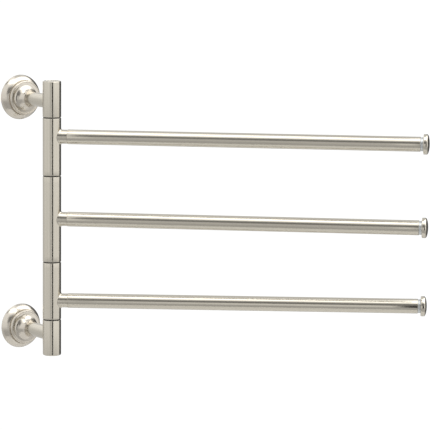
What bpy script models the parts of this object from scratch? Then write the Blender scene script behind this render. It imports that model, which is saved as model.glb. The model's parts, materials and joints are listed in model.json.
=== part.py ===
"""Wall-mounted swing towel rack: three bars that swivel on one upright post.

The wall is the plane y = 0 and the rack stands out from it towards -Y. The origin is the middle of the
lower wall bracket's back face and +Z is up. Everything is in metres.

Two wall brackets carry two flanges, a standoff runs out from each flange, and the standoffs hold the two
end sleeves of the post. Between the end sleeves three swivel sleeves turn on a through spindle, one bar
on each, with a thrust washer at every seam.
"""

import math

import bmesh
import bpy
from mathutils import Vector

MM = 0.001

# --- Layout -------------------------------------------------------------------------------------------
BAR_SPACING = 89.5 * MM  # height from one bar to the next
BAR_TO_STANDOFF = 37.5 * MM  # height from an outer bar to the standoff next to it
WALL_TO_POST = 66.0 * MM  # from the wall to the post's axis
BAR_REACH = 396.6 * MM  # from the post's axis to the end of a bar tube
BAR_ANGLES = {"upper": 42.5, "middle": 42.5, "lower": 38.4}  # degrees out from the wall

# --- Post ---------------------------------------------------------------------------------------------
POST_RADIUS = 10.0 * MM
SLEEVE_WALL = 2.0 * MM
STANDOFF_TO_SEAM = 16.8 * MM  # from a standoff's axis to the middle of the seam next to it
MIDDLE_BAR_TO_SEAM = 47.0 * MM  # from the middle bar's axis to the seam above or below it
POST_OVERHANG = 22.6 * MM  # how far an end sleeve runs past its standoff's axis
END_ROUND = 1.3 * MM  # rounded edge at the two ends of the post
SEAM_BEVEL = 0.3 * MM  # broken edge on each side of a seam
WASHER_THICKNESS = 0.7 * MM
WASHER_SETBACK = 0.6 * MM  # the washers lie this far inside the post's surface
SPINDLE_RADIUS = 4.0 * MM
SPINDLE_SETBACK = 3.2 * MM  # from the end of the post to the end of the spindle
BUSH_LENGTH = 8.0 * MM
NUT_TO_BORE = 0.5 * MM  # from the nut's corners to the end sleeve's bore
NUT_THICKNESS = 5.0 * MM
THREAD_PAST_NUT = 1.0 * MM  # spindle thread that shows past the nut
PLUG_THICKNESS = 2.6 * MM
PLUG_SETBACK = 0.2 * MM

# --- Bars ---------------------------------------------------------------------------------------------
BAR_RADIUS = 8.0 * MM
BAR_WALL = 1.2 * MM
COLLAR_STEP = 0.35 * MM  # the collar on the sleeve is this much smaller in radius than the tube
COLLAR_HEIGHT = 7.5 * MM  # from the post's surface to the end of the collar
COLLAR_FILLET = 1.5 * MM
BAR_STUD_RADIUS = 3.75 * MM
BAR_STUD_IN_TUBE = 15.0 * MM
ROOT_INSERT_LENGTH = 20.0 * MM
COLLAR_HOLE_FLOOR = 1.3 * MM  # metal left between the stud's hole and the sleeve's bore

# --- Finials ------------------------------------------------------------------------------------------
RING_STEP = 0.6 * MM  # the ring is this much smaller in radius than the tube
RING_LENGTH = 2.75 * MM
CAP_LIP = 2.9 * MM  # the cap is this much larger in radius than the tube
CAP_RIM = 4.3 * MM
CAP_DOME = 2.3 * MM
CAP_ROUND = 0.6 * MM
CAP_HOLE_DEPTH = 3.0 * MM
FINIAL_STUD_RADIUS = 2.5 * MM
FINIAL_STUD_IN_TUBE = 11.5 * MM
END_INSERT_LENGTH = 18.0 * MM

# --- Standoffs and flanges ----------------------------------------------------------------------------
STANDOFF_RADIUS = 7.6 * MM
SPIGOT_SHOULDER = 2.25 * MM  # the spigot is this much smaller in radius than the standoff
BOLT_RADIUS = 3.0 * MM
BOLT_HEAD_RADIUS = 5.0 * MM
BOLT_HEAD_HEIGHT = 4.5 * MM
BOLT_HEAD_ROOM = 1.2 * MM  # round the bolt's head, inside the flange
BOLT_TO_BRACKET = 3.65 * MM  # from the bolt's head to the wall bracket
BOLT_HOLE_TO_SPINDLE = 1.2 * MM  # metal left between the bolt's hole and the spindle's hole
FLANGE_RADIUS = 24.5 * MM
FLANGE_EDGE = 0.4 * MM  # the rim draws in this much where it meets the wall
RIM_FOOT = 1.0 * MM  # height at which the rim is widest
RIM_SWEEP = 12.7 * MM  # radius of the rim's rounded side
RIM_SIDE_START = 12.0  # degrees round that side from the wall plane, where it starts
RIM_SIDE_END = 55.0
STEP_IN = 6.0 * MM  # the step on the rim is this much smaller in radius than the flange
STEP_GROOVE = 0.5 * MM  # width and depth of the groove at the foot of the step
STEP_HEIGHT = 13.2 * MM
STEP_ROUND = 0.9 * MM
FINE_GROOVE_IN = 1.4 * MM  # from the step's side to the fine groove on top of it
FINE_GROOVE = 0.3 * MM  # half the width of that groove, and its depth
COVE_IN = 2.0 * MM  # from the step's side to the start of the cove
NECK_LENGTH = 1.2 * MM  # straight end of the neck past the cove
FLANGE_HEIGHT = 25.0 * MM
FLANGE_WALL = 2.4 * MM
FLANGE_LIP = 4.5 * MM  # width of the ring on which the flange meets the wall
CAVITY_RIM_HEIGHT = 4.0 * MM
BOLT_WEB = 3.5 * MM  # thickness of the flange's wall that the bolt's head pulls against

# --- Wall brackets ------------------------------------------------------------------------------------
BRACKET_THICKNESS = 6.6 * MM
BRACKET_EDGE_GAP = 2.0 * MM  # from the flange's cavity to the bracket's rim
BRACKET_FOOT = 1.2 * MM  # height of the bracket's straight edge on the wall
BRACKET_LIP = 1.0 * MM  # how far the lip past the groove stays inside the bracket's rim
BRACKET_BEVEL = 1.2 * MM
GROOVE_DEPTH = 1.8 * MM
GROOVE_HALF_WIDTH = 1.0 * MM
WALL_SCREW_HOLE = 2.3 * MM
WALL_SCREW_HEAD = 4.3 * MM
WALL_SCREW_MARGIN = 1.4 * MM  # from a wall screw's head to the bracket's groove
SET_SCREW_RADIUS = 2.0 * MM
SET_SCREW_TIP = 0.8 * MM
SET_SCREW_SETBACK = 2.3 * MM
SET_SCREW_HEIGHT = 3.6 * MM  # from the wall to the set screw's axis
HEX_KEY = 2.5 * MM  # across flats of the small hexagon sockets
BOLT_KEY = 5.0 * MM

# --- Clearances and facets ----------------------------------------------------------------------------
GAP = 0.25 * MM  # between pieces that seat on or in each other
RUNNING = 0.15 * MM  # radial play of a bush on the spindle
CHAMFER = 0.5 * MM  # on the ends of bolts, studs and the spindle
THIN_CHAMFER = 0.25 * MM  # on nuts, plugs and key sockets
OVERCUT = 1.0 * MM  # how far a cutter runs past what it cuts
FINE = 32  # sides of the round pieces that show
COARSE = 20  # sides of the inner round pieces
SMALL = 12  # sides of studs, bolts and screws
ARC_STEPS = 3
RIM_STEPS = 4
COVE_STEPS = 5
SHARP_ANGLE = 35.0  # degrees; edges sharper than this aren't shaded smooth
MERGE = 1e-7

# --- Sizes worked out from those above ----------------------------------------------------------------
SEAM = WASHER_THICKNESS + 2 * GAP
SLEEVE_BORE = POST_RADIUS - SLEEVE_WALL
SPINDLE_HOLE = SPINDLE_RADIUS + GAP
MIDDLE_BAR_Z = BAR_SPACING + BAR_TO_STANDOFF
UPPER_MOUNT_Z = 2 * MIDDLE_BAR_Z
POST_BOTTOM = -POST_OVERHANG
POST_TOP = UPPER_MOUNT_Z + POST_OVERHANG
SEAMS = [
    STANDOFF_TO_SEAM,
    MIDDLE_BAR_Z - MIDDLE_BAR_TO_SEAM,
    MIDDLE_BAR_Z + MIDDLE_BAR_TO_SEAM,
    UPPER_MOUNT_Z - STANDOFF_TO_SEAM,
]
END_SLEEVE_LENGTH = POST_OVERHANG + STANDOFF_TO_SEAM - SEAM / 2
BARS = {
    "upper": (MIDDLE_BAR_Z + BAR_SPACING, SEAMS[2], SEAMS[3]),
    "middle": (MIDDLE_BAR_Z, SEAMS[1], SEAMS[2]),
    "lower": (MIDDLE_BAR_Z - BAR_SPACING, SEAMS[0], SEAMS[1]),
}
NUT_SEAT = SPINDLE_SETBACK + THREAD_PAST_NUT + NUT_THICKNESS + GAP  # below the end of the post
NUT_ACROSS_FLATS = (SLEEVE_BORE - NUT_TO_BORE) * math.sqrt(3)
COLLAR_RADIUS = BAR_RADIUS - COLLAR_STEP
COLLAR_END = POST_RADIUS + COLLAR_HEIGHT
TUBE_START = COLLAR_END + GAP
TUBE_BORE = BAR_RADIUS - BAR_WALL
INSERT_RADIUS = TUBE_BORE - GAP
STUD_HOLE = BAR_STUD_RADIUS + GAP
STUD_START = SLEEVE_BORE + COLLAR_HOLE_FLOOR
FINIAL_HOLE = FINIAL_STUD_RADIUS + GAP
RING_RADIUS = BAR_RADIUS - RING_STEP
CAP_RADIUS = BAR_RADIUS + CAP_LIP
RING_START = BAR_REACH + GAP
CAP_START = RING_START + RING_LENGTH + GAP
STANDOFF_START = FLANGE_HEIGHT + GAP
SPIGOT_RADIUS = STANDOFF_RADIUS - SPIGOT_SHOULDER
BOLT_HEAD_TOP = BRACKET_THICKNESS + BOLT_TO_BRACKET + BOLT_HEAD_HEIGHT
BOLT_SEAT = BOLT_HEAD_TOP + GAP
SPIGOT_LENGTH = FLANGE_HEIGHT - BOLT_SEAT - BOLT_WEB
BOLT_END = WALL_TO_POST - SPINDLE_HOLE - BOLT_HOLE_TO_SPINDLE
BOLT_HOLE = BOLT_RADIUS + GAP
STEP_RADIUS = FLANGE_RADIUS - STEP_IN
COVE_HEIGHT = FLANGE_HEIGHT - NECK_LENGTH - STEP_HEIGHT
CAVITY_RADIUS = FLANGE_RADIUS - FLANGE_LIP
BRACKET_RADIUS = CAVITY_RADIUS - BRACKET_EDGE_GAP
GROOVE_RADIUS = BRACKET_RADIUS - GROOVE_DEPTH
WALL_SCREW_OFFSET = GROOVE_RADIUS - WALL_SCREW_MARGIN - WALL_SCREW_HEAD

ALONG_BAR = (0, math.radians(90), 0)  # turns a piece's own axis from +Z to +X, along its bar
OFF_WALL = (math.radians(90), 0, 0)  # turns a piece's own axis from +Z to -Y, away from the wall
UPRIGHT = (0, 0, 0)
UPSIDE_DOWN = (math.radians(180), 0, 0)


# --- Tools --------------------------------------------------------------------------------------------
def clear_scene():
    for item in list(bpy.data.objects):
        bpy.data.objects.remove(item)


def make_material(name, colour, metallic, roughness):
    material = bpy.data.materials.new(name)
    material.use_nodes = True
    shader = material.node_tree.nodes["Principled BSDF"]
    shader.inputs["Base Color"].default_value = (*colour, 1)
    shader.inputs["Metallic"].default_value = metallic
    shader.inputs["Roughness"].default_value = roughness
    return material


def make_empty(name, location, turn=0.0):
    empty = bpy.data.objects.new(name, None)
    empty.location = location
    empty.rotation_euler = (0, 0, turn)
    bpy.context.scene.collection.objects.link(empty)
    return empty


def make_object(name, bm, material=None, parent=None, location=(0, 0, 0), rotation=UPRIGHT):
    """Links the bmesh as an object whose origin is on its own axis."""
    bmesh.ops.remove_doubles(bm, verts=bm.verts, dist=MERGE)
    bmesh.ops.recalc_face_normals(bm, faces=bm.faces)
    mesh = bpy.data.meshes.new(name)
    bm.to_mesh(mesh)
    bm.free()
    mesh.shade_smooth()
    mesh.set_sharp_from_angle(angle=math.radians(SHARP_ANGLE))
    item = bpy.data.objects.new(name, mesh)
    if material:
        mesh.materials.append(material)
    item.parent = parent
    item.location = location
    item.rotation_euler = rotation
    bpy.context.scene.collection.objects.link(item)
    return item


def spun(outline, sides, closed):
    """The (radius, height) outline turned about Z. A closed outline makes a ring, an open one starts and
    ends on the axis."""
    bm = bmesh.new()
    corners = [bm.verts.new((radius, 0, height)) for radius, height in outline]
    pairs = list(zip(corners, corners[1:]))
    if closed:
        pairs.append((corners[-1], corners[0]))
    edges = [bm.edges.new(pair) for pair in pairs]
    bmesh.ops.spin(
        bm,
        geom=corners + edges,
        axis=(0, 0, 1),
        cent=(0, 0, 0),
        angle=math.tau,
        steps=sides,
        use_merge=True,
    )
    return bm


def turned(name, outline, sides, closed=True, **place):
    return make_object(name, spun(outline, sides, closed), **place)


def arc(centre, radii, start, end, steps=ARC_STEPS):
    """Points of an ellipse's arc in an outline, from one angle in degrees to another, ends included."""
    turns = [math.radians(start + (end - start) * step / steps) for step in range(steps + 1)]
    return [(centre[0] + radii[0] * math.cos(t), centre[1] + radii[1] * math.sin(t)) for t in turns]


def tube_outline(inner, outer, low, high, bevel=0.0):
    """A plain ring's outline, with its outer edges broken by bevel."""
    if not bevel:
        return [(inner, low), (outer, low), (outer, high), (inner, high)]
    return [
        (inner, low),
        (outer - bevel, low),
        (outer, low + bevel),
        (outer, high - bevel),
        (outer - bevel, high),
        (inner, high),
    ]


def rod_outline(radius, low, high, bevel):
    """A solid rod's outline from the axis round to the axis, with bevelled ends."""
    return [
        (0, low),
        (radius - bevel, low),
        (radius, low + bevel),
        (radius, high - bevel),
        (radius - bevel, high),
        (0, high),
    ]


def hexagon(across_flats, low, high):
    """A solid hexagonal bar about Z."""
    return spun(rod_outline(across_flats / math.sqrt(3), low, high, THIN_CHAMFER), 6, closed=False)


def cutter(name, bm, **place):
    """A hidden object that only cuts others."""
    item = make_object(name, bm, **place)
    item.hide_render = True
    item.display_type = "WIRE"
    return item


def cut_rod(name, radius, low, high, sides, **place):
    outline = [(0, low), (radius, low), (radius, high), (0, high)]
    return cutter(name, spun(outline, sides, closed=False), **place)


def combine(item, other, operation):
    """Adds a Boolean that takes other away from item, or joins it on."""
    boolean = item.modifiers.new(other.name, "BOOLEAN")
    boolean.object = other
    boolean.operation = operation
    boolean.solver = "EXACT"


# --- Wall side ----------------------------------------------------------------------------------------
def flange_outline():
    """The stepped, trumpet-shaped flange: rounded rim, step with a groove at its foot and a fine one on its
    top, then a cove that narrows to the neck. Heights are from the wall."""
    side_start = math.radians(RIM_SIDE_START)
    rim_centre = (
        FLANGE_RADIUS - RIM_SWEEP * math.cos(side_start),
        RIM_FOOT - RIM_SWEEP * math.sin(side_start),
    )
    rim = arc(rim_centre, (RIM_SWEEP, RIM_SWEEP), RIM_SIDE_START, RIM_SIDE_END, RIM_STEPS)
    step_centre = (STEP_RADIUS - STEP_ROUND, STEP_HEIGHT - STEP_ROUND)
    fine_groove = STEP_RADIUS - FINE_GROOVE_IN
    cove_edge = STEP_RADIUS - COVE_IN
    cove_radii = (cove_edge - STANDOFF_RADIUS, COVE_HEIGHT)
    outside = [
        (FLANGE_RADIUS - FLANGE_EDGE, 0),
        *rim,
        (STEP_RADIUS, rim[-1][1] - STEP_GROOVE),
        *arc(step_centre, (STEP_ROUND, STEP_ROUND), 0, 90),
        (fine_groove + FINE_GROOVE, STEP_HEIGHT),
        (fine_groove, STEP_HEIGHT - FINE_GROOVE),
        (fine_groove - FINE_GROOVE, STEP_HEIGHT),
        *arc((cove_edge, STEP_HEIGHT + COVE_HEIGHT), cove_radii, 270, 180, COVE_STEPS),
    ]
    head_room = BOLT_HEAD_RADIUS + BOLT_HEAD_ROOM
    socket = SPIGOT_RADIUS + GAP
    ceiling = STEP_HEIGHT - FLANGE_WALL
    inner_side = STEP_RADIUS - FLANGE_WALL
    inside = [
        (STANDOFF_RADIUS, FLANGE_HEIGHT),
        (socket, FLANGE_HEIGHT),
        (socket, FLANGE_HEIGHT - SPIGOT_LENGTH),
        (BOLT_HOLE, FLANGE_HEIGHT - SPIGOT_LENGTH),
        (BOLT_HOLE, BOLT_SEAT),
        (head_room, BOLT_SEAT),
        (head_room, ceiling),
        (inner_side, ceiling),
        (inner_side, CAVITY_RIM_HEIGHT + CAVITY_RADIUS - inner_side),
        (CAVITY_RADIUS, CAVITY_RIM_HEIGHT),
        (CAVITY_RADIUS, 0),
    ]
    return outside + inside


def add_wall_side(side, height, materials):
    """A bracket, flange, set screw, standoff and the long bolt, about one standoff's axis."""
    place = {"location": (0, 0, height), "rotation": OFF_WALL}
    add_bracket(side, height, materials)

    flange = turned(f"{side}_flange", flange_outline(), FINE, material=materials["polished"], **place)
    screw_place = {"location": (0, -SET_SCREW_HEIGHT, height), "rotation": UPSIDE_DOWN}
    tapped = cut_rod(
        f"cut_{side}_set_screw",
        SET_SCREW_RADIUS + GAP,
        CAVITY_RADIUS - BRACKET_EDGE_GAP,
        FLANGE_RADIUS + BRACKET_EDGE_GAP,
        SMALL,
        **screw_place,
    )
    combine(flange, tapped, "DIFFERENCE")

    screw = turned(
        f"{side}_flange_set_screw",
        [
            (0, GROOVE_RADIUS + GAP),
            (SET_SCREW_TIP, GROOVE_RADIUS + GAP),
            (SET_SCREW_RADIUS, GROOVE_RADIUS + GROOVE_DEPTH),
            (SET_SCREW_RADIUS, FLANGE_RADIUS - SET_SCREW_SETBACK),
            (0, FLANGE_RADIUS - SET_SCREW_SETBACK),
        ],
        SMALL,
        closed=False,
        material=materials["steel"],
        **screw_place,
    )
    socket = cutter(
        f"cut_{side}_set_screw_socket",
        hexagon(HEX_KEY, FLANGE_RADIUS - SET_SCREW_SETBACK - HEX_KEY, FLANGE_RADIUS),
        **screw_place,
    )
    combine(screw, socket, "DIFFERENCE")

    add_standoff(side, height, materials, place)


def add_bracket(side, height, materials):
    """A round plate with a grooved edge for the set screw and two countersunk holes."""
    place = {"location": (0, 0, height), "rotation": OFF_WALL}
    lip = BRACKET_RADIUS - BRACKET_LIP
    outline = [
        (0, 0),
        (BRACKET_RADIUS, 0),
        (BRACKET_RADIUS, BRACKET_FOOT),
        (GROOVE_RADIUS, SET_SCREW_HEIGHT - GROOVE_HALF_WIDTH),
        (GROOVE_RADIUS, SET_SCREW_HEIGHT + GROOVE_HALF_WIDTH),
        (lip, BRACKET_THICKNESS - BRACKET_BEVEL),
        (lip - BRACKET_BEVEL, BRACKET_THICKNESS),
        (0, BRACKET_THICKNESS),
    ]
    bracket = turned(
        f"{side}_wall_bracket", outline, FINE, closed=False, material=materials["steel"], **place
    )
    sink = BRACKET_THICKNESS - (WALL_SCREW_HEAD - WALL_SCREW_HOLE)
    hole = [
        (0, -OVERCUT),
        (WALL_SCREW_HOLE, -OVERCUT),
        (WALL_SCREW_HOLE, sink),
        (WALL_SCREW_HEAD + OVERCUT, BRACKET_THICKNESS + OVERCUT),
        (0, BRACKET_THICKNESS + OVERCUT),
    ]
    for number, across in enumerate((-WALL_SCREW_OFFSET, WALL_SCREW_OFFSET), 1):
        screw_hole = cutter(
            f"cut_{side}_wall_screw_{number}",
            spun(hole, SMALL, closed=False),
            location=(across, 0, height),
            rotation=OFF_WALL,
        )
        combine(bracket, screw_hole, "DIFFERENCE")


def add_standoff(side, height, materials, place):
    """The arm from the flange's neck to the post, cut to a saddle, and the bolt through it."""
    start = FLANGE_HEIGHT - SPIGOT_LENGTH + GAP
    outline = [
        (BOLT_HOLE, start),
        (SPIGOT_RADIUS, start),
        (SPIGOT_RADIUS, STANDOFF_START),
        (STANDOFF_RADIUS, STANDOFF_START),
        (STANDOFF_RADIUS, WALL_TO_POST),
        (BOLT_HOLE, WALL_TO_POST),
    ]
    standoff = turned(f"{side}_standoff", outline, COARSE, material=materials["satin"], **place)
    saddle = cut_rod(
        f"cut_{side}_saddle",
        POST_RADIUS + GAP,
        -2 * STANDOFF_RADIUS,
        2 * STANDOFF_RADIUS,
        FINE,
        location=(0, -WALL_TO_POST, height),
    )
    combine(standoff, saddle, "DIFFERENCE")

    head_base = BOLT_HEAD_TOP - BOLT_HEAD_HEIGHT
    bolt_outline = [
        (0, head_base),
        (BOLT_HEAD_RADIUS - CHAMFER, head_base),
        (BOLT_HEAD_RADIUS, head_base + CHAMFER),
        (BOLT_HEAD_RADIUS, BOLT_HEAD_TOP),
        (BOLT_RADIUS, BOLT_HEAD_TOP),
        (BOLT_RADIUS, BOLT_END - GAP - CHAMFER),
        (BOLT_RADIUS - CHAMFER, BOLT_END - GAP),
        (0, BOLT_END - GAP),
    ]
    bolt = turned(
        f"{side}_standoff_bolt", bolt_outline, SMALL, closed=False, material=materials["steel"], **place
    )
    socket = cutter(
        f"cut_{side}_bolt_socket",
        hexagon(BOLT_KEY, head_base - OVERCUT, head_base + BOLT_HEAD_HEIGHT / 2),
        **place,
    )
    combine(bolt, socket, "DIFFERENCE")


# --- Post ---------------------------------------------------------------------------------------------
def add_end_sleeve(side, seam_z, upside, mount_z, materials):
    """A fixed end of the post, with the nut and the plug inside. Heights are from its seam outwards."""
    flip = 1 if upside == UPRIGHT else -1
    place = {"location": (0, -WALL_TO_POST, seam_z + flip * SEAM / 2), "rotation": upside}
    length = END_SLEEVE_LENGTH
    outline = [
        (SPINDLE_HOLE, 0),
        (POST_RADIUS - SEAM_BEVEL, 0),
        (POST_RADIUS, SEAM_BEVEL),
        *arc((POST_RADIUS - END_ROUND, length - END_ROUND), (END_ROUND, END_ROUND), 0, 90),
        (SLEEVE_BORE, length),
        (SLEEVE_BORE, length - NUT_SEAT),
        (SPINDLE_HOLE, length - NUT_SEAT),
    ]
    sleeve = turned(f"{side}_end_sleeve", outline, FINE, material=materials["satin"], **place)
    blind_hole = cut_rod(
        f"cut_{side}_end_sleeve_bolt",
        BOLT_HOLE,
        WALL_TO_POST - 2 * POST_RADIUS,
        BOLT_END,
        SMALL,
        location=(0, 0, mount_z),
        rotation=OFF_WALL,
    )
    combine(sleeve, blind_hole, "DIFFERENCE")

    nut_base = length - NUT_SEAT + GAP
    nut = make_object(
        f"{side}_spindle_nut",
        hexagon(NUT_ACROSS_FLATS, nut_base, nut_base + NUT_THICKNESS),
        material=materials["steel"],
        **place,
    )
    nut_hole = cut_rod(
        f"cut_{side}_spindle_nut",
        SPINDLE_HOLE,
        nut_base - OVERCUT,
        nut_base + NUT_THICKNESS + OVERCUT,
        SMALL,
        **place,
    )
    combine(nut, nut_hole, "DIFFERENCE")

    plug_top = length - PLUG_SETBACK
    turned(
        f"{side}_end_plug",
        rod_outline(SLEEVE_BORE - GAP, plug_top - PLUG_THICKNESS, plug_top, THIN_CHAMFER),
        COARSE,
        closed=False,
        material=materials["satin"],
        **place,
    )


def add_spindle_and_washers(materials):
    turned(
        "spindle",
        rod_outline(SPINDLE_RADIUS, POST_BOTTOM + SPINDLE_SETBACK, POST_TOP - SPINDLE_SETBACK, CHAMFER),
        COARSE,
        closed=False,
        material=materials["steel"],
        location=(0, -WALL_TO_POST, 0),
    )
    for number, seam_z in enumerate(SEAMS, 1):
        turned(
            f"thrust_washer_{number}",
            tube_outline(
                SPINDLE_RADIUS + RUNNING + GAP,
                POST_RADIUS - WASHER_SETBACK,
                -WASHER_THICKNESS / 2,
                WASHER_THICKNESS / 2,
            ),
            COARSE,
            material=materials["nylon"],
            location=(0, -WALL_TO_POST, seam_z),
        )


# --- Swing arms ---------------------------------------------------------------------------------------
def collar_mesh():
    """The collar about +X, from inside the sleeve's wall to its end, with a rolled fillet on the sleeve.
    The fillet is a ball of radius COLLAR_FILLET that touches the sleeve and the collar all the way round."""
    bm = bmesh.new()
    root = POST_RADIUS - SLEEVE_WALL / 2
    ball_off_post = POST_RADIUS + COLLAR_FILLET
    ball_off_collar = COLLAR_RADIUS + COLLAR_FILLET
    rings = []
    for number in range(COARSE):
        turn = math.tau * number / COARSE
        across, up = math.cos(turn), math.sin(turn)
        ball = Vector(
            (
                math.sqrt(ball_off_post**2 - (ball_off_collar * across) ** 2),
                ball_off_collar * across,
                ball_off_collar * up,
            )
        )
        on_post = Vector((ball.x, ball.y, 0)) * (POST_RADIUS / ball_off_post) + Vector((0, 0, ball.z))
        on_collar = Vector((ball.x, COLLAR_RADIUS * across, COLLAR_RADIUS * up))
        inside = Vector((on_post.x, on_post.y, 0)) * (root / POST_RADIUS) + Vector((0, 0, ball.z))
        column = [inside]
        for step in range(ARC_STEPS + 1):
            chord = on_post.lerp(on_collar, step / ARC_STEPS)
            column.append(ball + (chord - ball).normalized() * COLLAR_FILLET)
        for inset in (SEAM_BEVEL, 0):
            radius = COLLAR_RADIUS - SEAM_BEVEL + inset
            column.append(Vector((COLLAR_END - inset, radius * across, radius * up)))
        rings.append([bm.verts.new(point) for point in column])
    for here, after in zip(rings, rings[1:] + rings[:1]):
        for row in range(len(here) - 1):
            bm.faces.new((here[row], after[row], after[row + 1], here[row + 1]))
    for row, middle in ((0, root / 2), (-1, COLLAR_END)):
        centre = bm.verts.new((middle, 0, 0))
        for here, after in zip(rings, rings[1:] + rings[:1]):
            bm.faces.new((here[row], after[row], centre))
    return bm


def add_swivel_sleeve(side, low, high, pivot, materials):
    """The turning sleeve with its collar, and the two bushes that run on the spindle."""
    sleeve = turned(
        f"{side}_swivel_sleeve",
        rod_outline(POST_RADIUS, low, high, SEAM_BEVEL),
        FINE,
        closed=False,
        material=materials["satin"],
        parent=pivot,
    )
    collar = cutter(f"add_{side}_collar", collar_mesh(), parent=pivot)
    bore = cut_rod(f"cut_{side}_bore", SLEEVE_BORE, low - OVERCUT, high + OVERCUT, COARSE, parent=pivot)
    stud_hole = cut_rod(
        f"cut_{side}_stud_hole",
        STUD_HOLE,
        STUD_START,
        COLLAR_END + OVERCUT,
        SMALL,
        parent=pivot,
        rotation=ALONG_BAR,
    )
    combine(sleeve, collar, "UNION")
    combine(sleeve, bore, "DIFFERENCE")
    combine(sleeve, stud_hole, "DIFFERENCE")

    for end, base in (("bottom", low), ("top", high - BUSH_LENGTH)):
        turned(
            f"{side}_{end}_bush",
            tube_outline(SPINDLE_RADIUS + RUNNING, SLEEVE_BORE - GAP, base, base + BUSH_LENGTH),
            COARSE,
            material=materials["acetal"],
            parent=pivot,
        )


def add_bar(side, pivot, materials):
    """The tube, its two inserts and the stud that joins it to the collar."""
    along = {"parent": pivot, "rotation": ALONG_BAR}
    turned(
        f"{side}_bar_tube",
        tube_outline(TUBE_BORE, BAR_RADIUS, TUBE_START, BAR_REACH, SEAM_BEVEL),
        FINE,
        material=materials["satin"],
        **along,
    )
    turned(
        f"{side}_bar_stud",
        rod_outline(BAR_STUD_RADIUS, STUD_START + GAP, TUBE_START + BAR_STUD_IN_TUBE, CHAMFER),
        SMALL,
        closed=False,
        material=materials["steel"],
        **along,
    )
    root_end = TUBE_START + ROOT_INSERT_LENGTH
    turned(
        f"{side}_bar_root_insert",
        blind_insert(TUBE_START + GAP, root_end, STUD_HOLE, BAR_STUD_IN_TUBE),
        COARSE,
        closed=False,
        material=materials["brass"],
        **along,
    )
    end_start = BAR_REACH - GAP
    turned(
        f"{side}_bar_end_insert",
        blind_insert(end_start, end_start - END_INSERT_LENGTH, FINIAL_HOLE, -FINIAL_STUD_IN_TUBE),
        COARSE,
        closed=False,
        material=materials["brass"],
        **along,
    )


def blind_insert(mouth, back, hole, depth):
    """Outline of a plug inside the tube, with a blind hole that opens at mouth."""
    return [
        (0, back),
        (INSERT_RADIUS, back),
        (INSERT_RADIUS, mouth),
        (hole, mouth),
        (hole, mouth + depth),
        (0, mouth + depth),
    ]


def add_finial(side, pivot, materials):
    """The ring, the domed cap and the stud that holds them to the tube's end insert."""
    along = {"parent": pivot, "rotation": ALONG_BAR}
    turned(
        f"{side}_finial_ring",
        tube_outline(FINIAL_HOLE, RING_RADIUS, RING_START, RING_START + RING_LENGTH, SEAM_BEVEL),
        COARSE,
        material=materials["ring"],
        **along,
    )
    rim_end = CAP_START + CAP_RIM
    cap_outline = [
        (0, CAP_START + CAP_HOLE_DEPTH),
        (FINIAL_HOLE, CAP_START + CAP_HOLE_DEPTH),
        (FINIAL_HOLE, CAP_START),
        (CAP_RADIUS - CAP_ROUND, CAP_START),
        (CAP_RADIUS, CAP_START + CAP_ROUND),
        (CAP_RADIUS, rim_end - CAP_ROUND),
        *arc((0, rim_end - CAP_ROUND / 2), (CAP_RADIUS - CAP_ROUND / 2, CAP_DOME + CAP_ROUND / 2), 8, 90),
    ]
    turned(f"{side}_finial_cap", cap_outline, FINE, closed=False, material=materials["satin"], **along)
    turned(
        f"{side}_finial_stud",
        rod_outline(
            FINIAL_STUD_RADIUS,
            BAR_REACH - FINIAL_STUD_IN_TUBE,
            CAP_START + CAP_HOLE_DEPTH - GAP,
            CHAMFER,
        ),
        SMALL,
        closed=False,
        material=materials["steel"],
        **along,
    )


def add_swing_arm(side, materials):
    """One sleeve, bar and finial, all parented to an empty on the post's axis at the bar's height."""
    bar_z, seam_below, seam_above = BARS[side]
    turn = -math.radians(BAR_ANGLES[side])
    pivot = make_empty(f"{side}_arm_pivot", (0, -WALL_TO_POST, bar_z), turn)
    low = seam_below + SEAM / 2 - bar_z
    high = seam_above - SEAM / 2 - bar_z
    add_swivel_sleeve(side, low, high, pivot, materials)
    add_bar(side, pivot, materials)
    add_finial(side, pivot, materials)


def main():
    clear_scene()
    materials = {
        "satin": make_material("satin_nickel", (0.62, 0.58, 0.53), 1.0, 0.32),
        "polished": make_material("polished_nickel", (0.66, 0.62, 0.57), 1.0, 0.16),
        "steel": make_material("zinc_steel", (0.56, 0.57, 0.58), 1.0, 0.4),
        "brass": make_material("brass", (0.72, 0.55, 0.28), 1.0, 0.35),
        "ring": make_material("grey_ring", (0.50, 0.52, 0.53), 0.6, 0.35),
        "nylon": make_material("dark_nylon", (0.05, 0.05, 0.05), 0.0, 0.5),
        "acetal": make_material("white_acetal", (0.80, 0.79, 0.75), 0.0, 0.4),
    }
    for side, height in (("lower", 0.0), ("upper", UPPER_MOUNT_Z)):
        add_wall_side(side, height, materials)
    add_end_sleeve("lower", SEAMS[0], UPSIDE_DOWN, 0.0, materials)
    add_end_sleeve("upper", SEAMS[3], UPRIGHT, UPPER_MOUNT_Z, materials)
    add_spindle_and_washers(materials)
    for side in BARS:
        add_swing_arm(side, materials)


main()
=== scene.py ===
"""Looks of the swing towel rack: fine turned and brushed surfaces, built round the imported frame."""

import json
import math

import bmesh
import bpy
from mathutils import Matrix, Vector

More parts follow.
